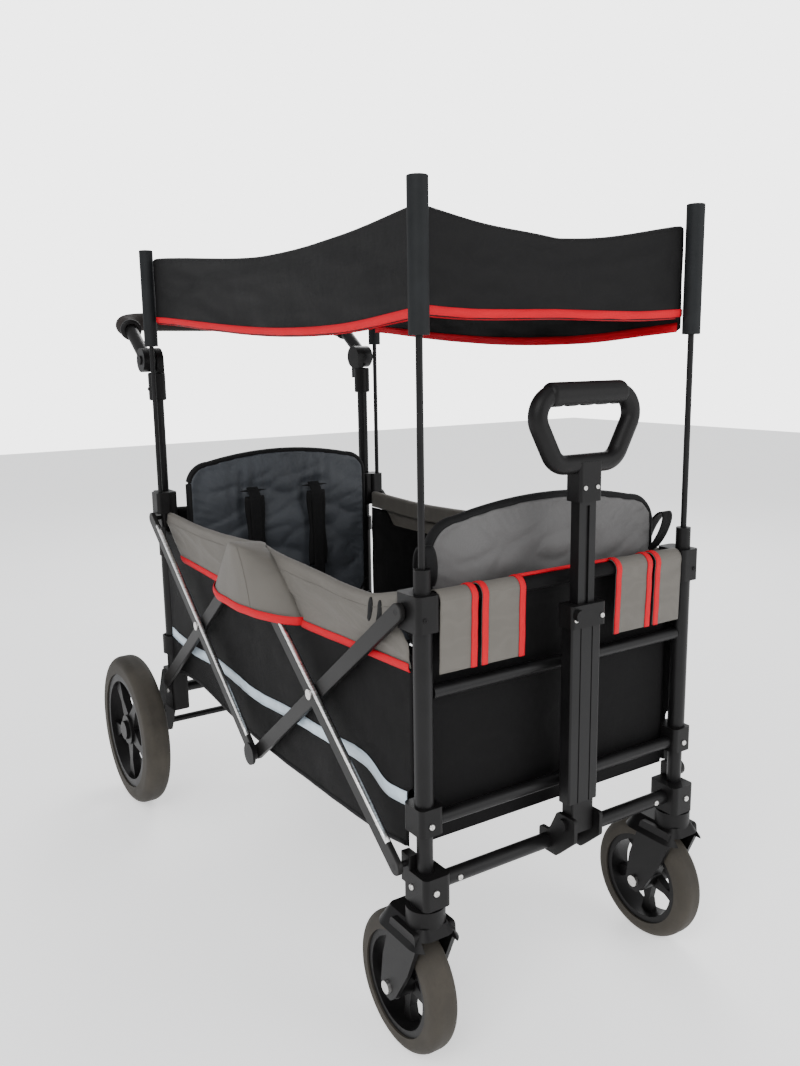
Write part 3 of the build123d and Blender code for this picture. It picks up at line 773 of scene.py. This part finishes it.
def build_webbing_loops():
    """Standing webbing loops at the front corners of the basket."""
    tall, wide = 0.060, 0.013
    for sign, side in SIDES:
        base = Vector((FRONT_X - 0.030, sign * 0.214, 0.655))

        def loop(u, v):
            angle = -0.5 * pi + 2 * pi * u
            z = base.z + tall / 2 + tall / 2 * sin(angle)
            x = base.x + wide * cos(angle) + 0.010 * sin(angle)
            return Vector((x, base.y + sign * (0.007 * sin(angle) + 0.020 * (v - 0.5)), z))

        grid_piece(f"webbing_loop_{side}", loop, 36, 4, "webbing", "front_upper", 0.0022, closed=True)


# ------------------------------------------------------------------ cushions
CLOTH_FRAMES = 20


def inflate(obj, voxel, pressure, cap, pinned):
    """Voxel remesh, then a short cloth run under pressure; points never move further than cap."""
    modify(obj, "REMESH", mode="VOXEL", voxel_size=voxel, use_smooth_shade=True)
    apply_modifiers(obj)
    start = [vert.co.copy() for vert in obj.data.vertices]
    group = obj.vertex_groups.new(name="pin")
    held = [vert.index for vert in obj.data.vertices if pinned(vert.co)]
    group.add(held, 1.0, "REPLACE")
    cloth = modify(obj, "CLOTH")
    settings = cloth.settings
    settings.quality = 5
    settings.mass = 0.15
    settings.use_pressure = True
    settings.uniform_pressure_force = pressure
    settings.tension_stiffness = 12
    settings.compression_stiffness = 6
    settings.shear_stiffness = 4
    settings.bending_stiffness = 0.6
    settings.effector_weights.gravity = 0
    settings.vertex_group_mass = "pin"
    cloth.collision_settings.use_collision = False
    cloth.point_cache.frame_start = 1
    cloth.point_cache.frame_end = CLOTH_FRAMES
    scene = bpy.context.scene
    for number in range(1, CLOTH_FRAMES + 1):
        scene.frame_set(number)
    apply_modifiers(obj)
    scene.frame_set(1)
    for vert, origin in zip(obj.data.vertices, start):
        move = vert.co - origin
        if move.length > cap:
            vert.co = origin + move * (cap / move.length)
    obj.vertex_groups.clear()


def outline_of_back(half, low, shoulder, top, corner, steps=14):
    """Outline (y, z) of a seat back: arched top and rounded corners, straight sides."""
    points = []
    for step in range(steps * 3 + 1):
        y = (half - corner) * (1 - 2 * step / (steps * 3))
        z = shoulder + (top - shoulder) * (1 - (y / (half - corner * 0.4)) ** 2)
        points.append((y, z))

    def round_corner(cy, cz, start):
        ring = []
        for step in range(1, steps):
            angle = start + pi / 2 * step / steps
            ring.append((cy + corner * cos(angle), cz + corner * sin(angle)))
        return ring

    left = round_corner(-(half - corner), points[-1][1] - corner, pi / 2)
    low_left = round_corner(-(half - corner), low + corner, pi)
    low_right = round_corner(half - corner, low + corner, 1.5 * pi)
    right = round_corner(half - corner, points[0][1] - corner, 0)
    return points + left + low_left + low_right + right


def build_seat_back(name, node, body, x, front, slot):
    """Quilted seat back, padded on both faces; front (+1 or -1) is the face that takes the harness dents."""
    half, low, top = 0.203, SEAT_HINGE_Z + SEAT_ROD, BACK_HIGH.z - 0.006
    outline = outline_of_back(half, low, top - 0.024, top, 0.042)
    thick = 0.0105
    slot_z = 0.684
    count = len(outline)
    verts = [(x - thick, y, z) for y, z in outline] + [(x + thick, y, z) for y, z in outline]
    faces = [tuple(range(count)), tuple(range(2 * count - 1, count - 1, -1))]
    for index in range(count):
        after = (index + 1) % count
        faces.append((index, index + count, after + count, after))
    pad = add_piece(name, verts, faces, slot, None)
    centre = Vector((x, 0, (low + top) / 2))

    def at_seam(co):
        return edge_gap(co, outline) < 0.007 or co.z < low + 0.012

    inflate(pad, 0.0055, 4.0, 0.011, at_seam)
    slots = [-HARNESS_Y, HARNESS_Y] if body == "rear_seat" else []
    for vert in pad.data.vertices:
        co = vert.co
        gap = edge_gap(co, outline)
        side = 1 if co.x > x else -1
        around = atan2(co.z - centre.z, co.y) * 0.30
        near_seam = exp(-gap / 0.030) * (1 - exp(-gap / 0.006))
        pucker = 0.0038 * near_seam * abs(sin(around * 130 + 2 * ripple(co.y, co.z, 0, 9)))
        crumple = 0.0040 * ripple(co.y * 1.2, co.z * 2.0, side, 8)
        crumple += 0.0016 * ripple(co.y, co.z * 2.6, side, 17, 6)
        crumple -= 0.0078 * crease(co.y * 0.8, co.z * 1.3 + co.y * 0.4, side, 7, 2)
        crumple -= 0.0042 * crease(co.y * 0.7, co.z * 1.9 - co.y * 0.5, side, 15, 8)
        crumple *= 1 - exp(-gap / 0.02)
        dent = 0.0
        if side == front:
            for slot_y in slots:
                d = hypot((co.y - slot_y) / 0.034, (co.z - slot_z) / 0.010)
                dent += 0.008 * exp(-d * d)
                tug = hypot((co.y - slot_y) / 0.05, (co.z - slot_z) / 0.045)
                dent += 0.0034 * exp(-tug * tug) * sin((co.y - slot_y) * 230)
        vert.co.x = co.x + side * (crumple - pucker - dent)
    smoothed_once(pad)
    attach(pad, body)
    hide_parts(node)
    ring = [(x, y * 1.008, z + (0.002 if z > low + 0.05 else 0)) for y, z in outline]
    tube_piece(name + "_piping", ring, 0.0062, "webbing", body, closed=True, flat=1.25)
    rod = [(x, -0.222 + 0.444 * step / 8, SEAT_HINGE_Z) for step in range(9)]
    tube_piece(name + "_rod", rod, SEAT_ROD, "frame_paint", body, 16)


def edge_gap(co, outline):
    """Distance in the YZ plane from a point to the outline."""
    best = 1.0
    for (y0, z0), (y1, z1) in zip(outline, outline[1:] + outline[:1]):
        dy, dz = y1 - y0, z1 - z0
        length = dy * dy + dz * dz
        t = max(0.0, min(1.0, ((co.y - y0) * dy + (co.z - z0) * dz) / length)) if length else 0.0
        best = min(best, hypot(co.y - y0 - t * dy, co.z - z0 - t * dz))
    return best


def build_harness():
    """Shoulder pads and webbing on the rear seat back."""
    face = REAR_SEAT_X + 0.0225
    for sign, side in SIDES:
        middle = sign * HARNESS_Y

        def pad(u, v):
            angle = 2 * pi * u
            half = 0.021 + 0.002 * sin(v * 9)
            cap = 1 - 0.9 * max(0.0, (abs(v - 0.5) - 0.46) / 0.04) ** 2
            y = middle + half * rounded(cos(angle), 0.6)
            swell = 0.0052 * cap * sin(angle) + 0.0006 * ripple(0, y, v * 2, 30)
            z = 0.505 + 0.165 * v
            return Vector((face + 0.0055 + swell + 0.002 * sin(v * 5), y, z))

        piece = grid_piece(f"shoulder_pad_{side}", pad, 24, 30, "webbing", None, closed=True)
        cap_ends(piece, 24)
        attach(piece, "rear_seat")
        if side == "right":
            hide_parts("harness_pads")

        def web(u, v):
            z = 0.425 + 0.262 * v
            out = 0.0012 + 0.012 * sin(pi * v) ** 0.5
            dip = 0.010 * smoothstep((v - 0.93) / 0.07)
            return Vector((face + out - dip, middle + 0.0125 * (2 * u - 1), z))

        grid_piece(f"shoulder_web_{side}", web, 6, 40, "webbing", "rear_seat", 0.0016)

        # black strip just under the padded face, painted as the shade inside the harness slot
        def slot_line(u, v):
            z = 0.681 + 0.005 * (v - 0.5) * sin(pi * (0.05 + 0.9 * u))
            return Vector((face - 0.0025, middle + 0.030 * (2 * u - 1), z))

        grid_piece(f"harness_slot_shade_{side}", slot_line, 12, 2, "webbing", "rear_seat", 0.0010)


def cap_ends(obj, across):
    """Close the two open ends of a tube made by grid_piece."""
    mesh = obj.data
    verts = [vert.co.copy() for vert in mesh.vertices]
    faces = [tuple(face.vertices) for face in mesh.polygons]
    faces.append(tuple(range(across))[::-1])
    faces.append(tuple(range(len(verts) - across, len(verts))))
    mesh.clear_geometry()
    mesh.from_pydata(verts, [], faces)
    mesh.update()
    shade_smooth(obj)


def build_seat_pad(name, node, body):
    """Seat cushion with two stitched channels."""
    low, high = box_of(node)
    shrink = 0.007
    low = Vector((low.x + shrink, low.y + shrink, low.z + 0.004))
    high = Vector((high.x - shrink, high.y - shrink, high.z - 0.008))
    corners = [(x, y, z) for z in (low.z, high.z) for x, y in
               ((low.x, low.y), (high.x, low.y), (high.x, high.y), (low.x, high.y))]
    faces = [(3, 2, 1, 0), (4, 5, 6, 7), (0, 1, 5, 4), (1, 2, 6, 5), (2, 3, 7, 6), (3, 0, 4, 7)]
    pad = add_piece(name, corners, faces, "seat_fabric", None, smooth=False)
    modify(pad, "BEVEL", width=0.018, segments=4)
    apply_modifiers(pad)
    inflate(pad, 0.006, 4.0, 0.009, lambda co: co.z < low.z + 0.008)
    for vert in pad.data.vertices:
        co = vert.co
        if co.z > (low.z + high.z) / 2:
            channel = exp(-((abs(co.y) - 0.09) / 0.006) ** 2) * 0.007
            wrinkle = 0.0025 * ripple(co.x, co.y, 0, 11) + 0.0014 * ripple(co.x, co.y, 0, 27, 3)
            vert.co.z = co.z - channel + wrinkle
        vert.co.z = max(vert.co.z, low.z - 0.003)
    smoothed_once(pad)
    half_x, half_y = (high.x - low.x) / 2 * 1.005, (high.y - low.y) / 2 * 1.005
    ring = []
    for step in range(96):
        angle = 2 * pi * step / 96
        ring.append(((low.x + high.x) / 2 + half_x * rounded(cos(angle), 0.22),
                     half_y * rounded(sin(angle), 0.22), (low.z + high.z) / 2))
    piping = tube_piece(name + "_piping", ring, 0.0035, "webbing", None, closed=True)
    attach(pad, body)
    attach(piping, body)
    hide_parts(node)
    gather([pad, piping])


def build_floor():
    """Floor pad inside the CAD mat's box, its long edges rounded."""
    edge = 0.002
    middle = (MAT_LOW.z + MAT_HIGH.z) / 2
    thick = (MAT_HIGH.z - MAT_LOW.z) / 2

    def board(u, v):
        x = MAT_LOW.x + edge + (MAT_HIGH.x - MAT_LOW.x - 2 * edge) * v
        angle = 2 * pi * u
        cy = rounded(cos(angle), 0.35)
        lift = (thick - 0.001 + 0.001 * ripple(x, cy, 0, 7)) * rounded(sin(angle), 0.7)
        return Vector((x, (MAT_HIGH.y - edge) * cy, middle + lift))

    mat = grid_piece("floor_pad", board, 72, 90, "black_fabric", None, closed=True)
    cap_ends(mat, 72)
    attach(mat, "rear_upper")
    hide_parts("floor_mat")
    gather([mat])


# ------------------------------------------------------------------ trim and fasteners
def screw(name, place, normal, radius, body, slot):
    """Domed screw head with a hexagon recess."""
    normal = Vector(normal).normalized()
    turn = normal.to_track_quat("Z", "Y").to_matrix()
    rings = [(1.0, 0.0), (1.0, 0.25), (0.86, 0.48), (0.55, 0.58), (0.46, 0.56), (0.42, 0.18), (0.0001, 0.16)]
    sides = 24
    verts = []
    for share, height in rings:
        for step in range(sides):
            angle = 2 * pi * step / sides
            reach = share
            if share < 0.5:
                reach *= cos(pi / 6) / cos((angle + pi / 6) % (pi / 3) - pi / 6)
            local = Vector((cos(angle) * reach, sin(angle) * reach, height))
            verts.append(Vector(place) + turn @ (local * radius))
    add_piece(name, verts, quads(len(rings) - 1, sides, sides, len(verts)), slot, body)


def build_screws():
    front = FRONT_X + 0.050
    outside = TRACK + 0.0175
    rows = [
        ("clamp", (front, 0.024, 0.601), "ahead", 0.0035, "pull_handle", "zinc_steel"),
        ("grip", (front - 0.001, 0.011, 0.779), "ahead", 0.0032, "pull_stem", "zinc_steel"),
        ("block_front", (FRONT_X + 0.026, TRACK, BLOCK_Z), "ahead", 0.0045, "front_lower", "zinc_steel"),
        ("block_side", (FRONT_X - 0.006, outside, BLOCK_Z), "outward", 0.0045, "front_lower", "zinc_steel"),
        ("tube", (FRONT_X + 0.0105, 0.190, BLOCK_Z), "ahead", 0.0042, "front_lower", "zinc_steel"),
        ("collar", (FRONT_X + 0.017, 0.247, 0.630), "ahead", 0.0032, "front_upper", "black_plastic"),
        ("bracket", (FRONT_X + 0.017, 0.240, 0.352), "ahead", 0.0042, "front_upper", "zinc_steel"),
        ("rear_foot", (REAR_X + 0.006, outside, BLOCK_Z), "outward", 0.0045, "rear_lower", "zinc_steel"),
        ("rear_collar", (REAR_X - 0.002, outside, 0.655), "outward", 0.0036, "rear_upper", "zinc_steel"),
        ("housing", (REAR_X - 0.002, outside - 0.0007, 0.895), "outward", 0.0034, "rear_upper",
         "black_plastic"),
    ]
    for sign, side in SIDES:
        for part, (x, y, z), facing, radius, body, slot in rows:
            normal = (1, 0, 0) if facing == "ahead" else (0, sign, 0)
            screw(f"screw_{part}_{side}", (x, sign * y, z), normal, radius, body, slot)


def build_link_edges():
    """Nearly white metal strip along the upper edge of each outer link, and a little way down its face: a
    painted highlight.
    """
    inset = 0.030
    pivots = {
        "link_rear_falling": ((REAR_X + 0.02, 0.636), (MID_X, 0.290)),
        "link_front_falling": ((MID_X, 0.636), (FRONT_X - 0.02, 0.290)),
    }
    for node, (start, end) in pivots.items():
        a, b = Vector((start[0], 0, start[1])), Vector((end[0], 0, end[1]))
        ahead = (b - a).normalized()
        up = Vector((-ahead.z, 0, ahead.x))
        y_mid = box_of(node)[1].y - 0.004
        for sign, side in SIDES:

            def strip(u, v):
                along = inset + ((b - a).length - 2 * inset) * u
                over = max(0.0, (v - 0.6) / 0.4)
                out = min(v, 0.6) / 0.6 * 0.0066 - 0.0024
                place = a + ahead * along + up * (0.0123 - 0.0040 * over)
                return Vector((place.x, sign * (y_mid + out), place.z))

            grid_piece(f"{node}_edge_{side}", strip, 30, 5, "bright_edge", node, 0.0005)


def build_grip_rings():
    """Raised collars where the foam grip ends on the push handle."""
    profile = [(0.0135, -0.005), (0.0205, -0.005), (0.0215, -0.003), (0.0215, 0.003), (0.0205, 0.005),
               (0.0135, 0.005)]
    for sign, side in SIDES:
        centre = Vector((PUSH_RING[0], sign * PUSH_RING[1], PUSH_RING[2]))
        ahead = Vector(PUSH_RING_AXIS)
        ahead.y *= sign
        ahead.normalize()
        side_way = ahead.cross(Vector((0, 1, 0))).normalized()
        other = ahead.cross(side_way)

        def ring(u, v):
            index = v * (len(profile) - 1)
            low = min(int(index), len(profile) - 2)
            f = index - low
            radius = profile[low][0] * (1 - f) + profile[low + 1][0] * f
            shift = profile[low][1] * (1 - f) + profile[low + 1][1] * f
            angle = 2 * pi * u
            return centre + ahead * shift + (side_way * cos(angle) + other * sin(angle)) * radius

        grid_piece(f"push_grip_ring_{side}", ring, 40, 5, "black_plastic", "push_handle", closed=True)


# ------------------------------------------------------------------ stage, light, camera
FLOOR_HALF = 9.0
FLOOR_GLOW, SKY_LIGHT, BACKDROP_LIGHT = 0.75, 0.85, 4.0


def build_floor_plane():
    mesh = bpy.data.meshes.new("floor")
    corners = [(-FLOOR_HALF, -FLOOR_HALF), (FLOOR_HALF, -FLOOR_HALF),
               (FLOOR_HALF, FLOOR_HALF), (-FLOOR_HALF, FLOOR_HALF)]
    mesh.from_pydata([(x, y, -0.0005) for x, y in corners], [], [(0, 1, 2, 3)])
    floor = bpy.data.objects.new("floor", mesh)
    bpy.context.scene.collection.objects.link(floor)
    m = Nodes("floor_pale", (0.90, 0.90, 0.90), 0.7, specular=0.1)
    m.colour(m.noise(3.0, 2), (0.89, 0.89, 0.89), (0.91, 0.91, 0.91))
    m.set("Emission Color", (1, 1, 1, 1))
    m.set("Emission Strength", FLOOR_GLOW)
    mesh.materials.append(m.material)


def build_world():
    """Soft light all round; the camera itself sees a white backdrop."""
    world = bpy.data.worlds.new("studio")
    world.use_nodes = True
    nodes, links = world.node_tree.nodes, world.node_tree.links
    background = nodes["Background"]
    background.inputs["Color"].default_value = (0.97, 0.98, 1.0, 1)
    background.inputs["Strength"].default_value = SKY_LIGHT
    backdrop = nodes.new("ShaderNodeBackground")
    backdrop.inputs["Color"].default_value = (1, 1, 1, 1)
    backdrop.inputs["Strength"].default_value = BACKDROP_LIGHT
    rays = nodes.new("ShaderNodeLightPath")
    mix = nodes.new("ShaderNodeMixShader")
    links.new(rays.outputs["Is Camera Ray"], mix.inputs[0])
    links.new(background.outputs[0], mix.inputs[1])
    links.new(backdrop.outputs[0], mix.inputs[2])
    links.new(mix.outputs[0], nodes["World Output"].inputs[0])
    bpy.context.scene.world = world


def build_lights():
    middle = Vector((MID_X, 0, 0.5))
    lights = [
        ("key", (2.2, -2.6, 2.9), 2.2, 95),
        ("fill", (3.2, 1.6, 1.6), 2.4, 45),
        ("back", (-2.4, 2.0, 2.6), 1.8, 60),
    ]
    for name, place, size, power in lights:
        lamp = bpy.data.lights.new(name, "AREA")
        lamp.size = size
        lamp.energy = power
        obj = bpy.data.objects.new(name, lamp)
        obj.location = place
        obj.rotation_euler = (middle - Vector(place)).to_track_quat("-Z", "Y").to_euler()
        bpy.context.scene.collection.objects.link(obj)


def build_camera():
    """Eye-height view of the right front corner."""
    yaw, pitch, roll = radians(147.08), radians(10.54), radians(-0.89)
    ahead = Vector((cos(yaw) * cos(pitch), sin(yaw) * cos(pitch), -sin(pitch)))
    right = Vector((sin(yaw), -cos(yaw), 0))
    up = right.cross(ahead)
    across = cos(roll) * right + sin(roll) * up
    above = -sin(roll) * right + cos(roll) * up
    data = bpy.data.cameras.new("camera")
    data.sensor_width = 36
    data.lens = 32.46
    camera = bpy.data.objects.new("camera", data)
    turn = Matrix((across, above, -ahead)).transposed().to_4x4()
    camera.matrix_world = Matrix.Translation((MID_X + 1.438, -0.898, 0.956)) @ turn
    bpy.context.scene.collection.objects.link(camera)
    bpy.context.scene.camera = camera


build_floor_plane()
build_world()
build_lights()
build_camera()
paint_nodes()
build_canopy()
for hand, hand_name in SIDES:
    build_side(hand, hand_name)
build_end_panel("front_panel", "front_end_panel", "front_upper", FRONT_X, FRONT_RAIL_Z, -1)
build_end_panel("rear_panel", "rear_end_panel", "rear_upper", REAR_X, REAR_RAIL_Z, 1)
build_front_straps()
build_webbing_loops()
build_seat_back("rear_back_pad", "rear_seat_back", "rear_seat", REAR_SEAT_X, 1, "seat_fabric")
build_seat_back("front_back_pad", "front_seat_back", "front_seat", FRONT_SEAT_X, -1, "seat_fabric_pale")
build_harness()
build_seat_pad("rear_seat_pad", "rear_seat_cushion", "rear_upper")
build_seat_pad("front_seat_pad", "front_seat_cushion", "front_upper")
build_floor()
build_screws()
build_link_edges()
build_grip_rings()
